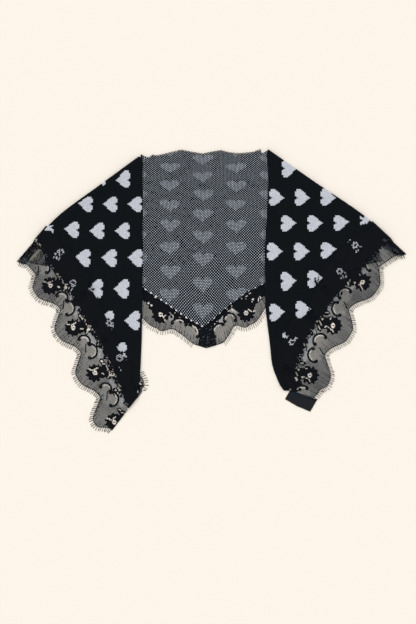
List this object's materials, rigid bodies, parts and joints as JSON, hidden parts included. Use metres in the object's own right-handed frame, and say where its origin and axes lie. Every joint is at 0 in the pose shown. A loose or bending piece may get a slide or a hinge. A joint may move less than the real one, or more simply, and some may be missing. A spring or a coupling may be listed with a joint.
{
  "type": "knitted shawl with lace edging",
  "caption": "Wide triangular knitted shawl with a scalloped eyelash lace edging, laid flat on its face with both ends folded forward over soft rolls.",
  "frame": {"origin": "middle of the laid outline, on the surface it lies on", "axes": "+X across the shawl to the right end, +Y up the cloth to its long top edge, +Z away from the surface"},
  "size_m": [0.896, 0.6533, 0.0108],
  "materials": {
    "knit": "jacquard knit, black with pale grey hearts",
    "lace": "black net lace with an eyelash edge",
    "label": "black woven ribbon, bare"
  },
  "bodies": {
    "root": {"knit_back": "knit", "knit_wing_left": "knit", "knit_wing_right": "knit", "lace_back_left": "lace", "lace_back_right": "lace", "lace_mitre": "lace", "lace_wing_left": "lace", "lace_wing_right": "lace", "lace_end_left": "lace", "lash_wing_left_1": "lace", "lash_wing_left_2": "lace", "lash_wing_left_3": "lace", "lash_wing_left_4": "lace", "lash_wing_left_5": "lace", "lash_back_left_1": "lace", "lash_back_left_2": "lace", "lash_wing_right_1": "lace", "lash_wing_right_2": "lace", "lash_wing_right_3": "lace", "lash_wing_right_4": "lace", "lash_wing_right_5": "lace", "lash_back_right_1": "lace", "lash_back_right_2": "lace", "lash_end_left": "lace", "label": "label"}
  },
  "joints": []
}
